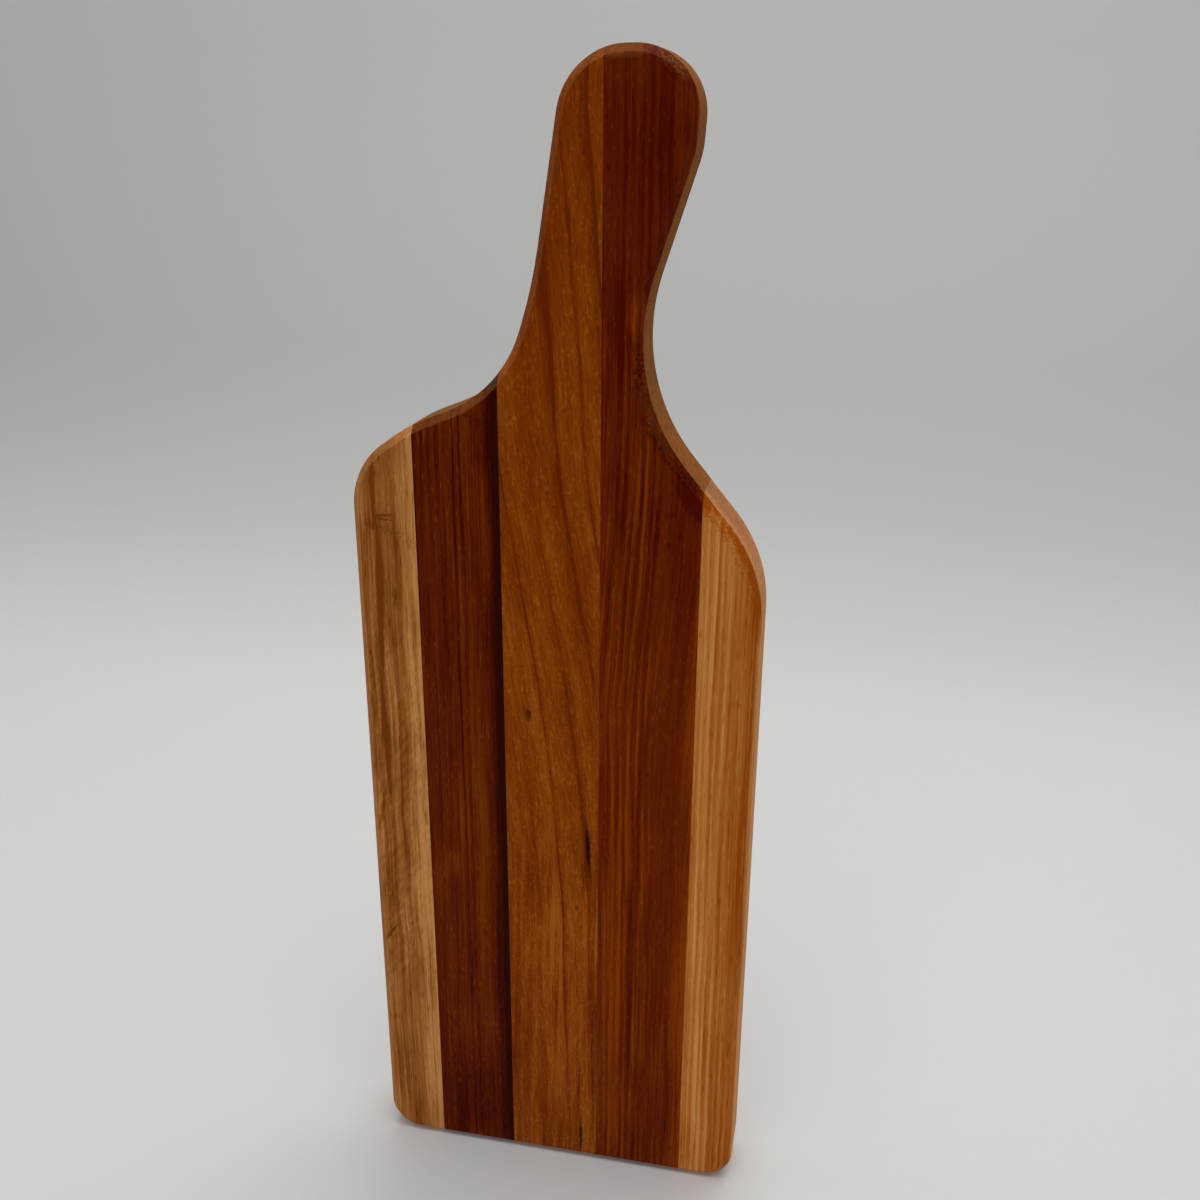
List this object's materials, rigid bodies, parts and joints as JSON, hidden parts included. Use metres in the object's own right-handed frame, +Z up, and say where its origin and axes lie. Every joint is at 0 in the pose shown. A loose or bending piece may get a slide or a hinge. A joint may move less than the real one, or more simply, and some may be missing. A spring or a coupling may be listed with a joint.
{
  "type": "paddle charcuterie board",
  "caption": "Paddle-shaped serving board edge-glued from strips of different hardwoods, with a chamfered rim and an offset, round-ended handle.",
  "frame": {"origin": "middle of the bottom end, where the board stands in the picture", "axes": "+Z up the board's length to the tip of the handle, +X to the right when looking at the serving face, +Y out of the back face"},
  "size_m": [0.1398, 0.0226, 0.4095],
  "materials": {
    "left_outer_wood": "oiled satin",
    "left_inner_wood": "oiled satin",
    "centre_wood": "oiled satin",
    "right_inner_wood": "oiled satin",
    "right_outer_wood": "oiled satin",
    "wood_glue": "cured glue film"
  },
  "bodies": {
    "root": {"left_outer_strip": "left_outer_wood", "left_inner_strip": "left_inner_wood", "centre_strip": "centre_wood", "right_inner_strip": "right_inner_wood", "right_outer_strip": "right_outer_wood", "left_outer_glue": "wood_glue", "left_inner_glue": "wood_glue", "right_inner_glue": "wood_glue", "right_outer_glue": "wood_glue"}
  },
  "joints": []
}
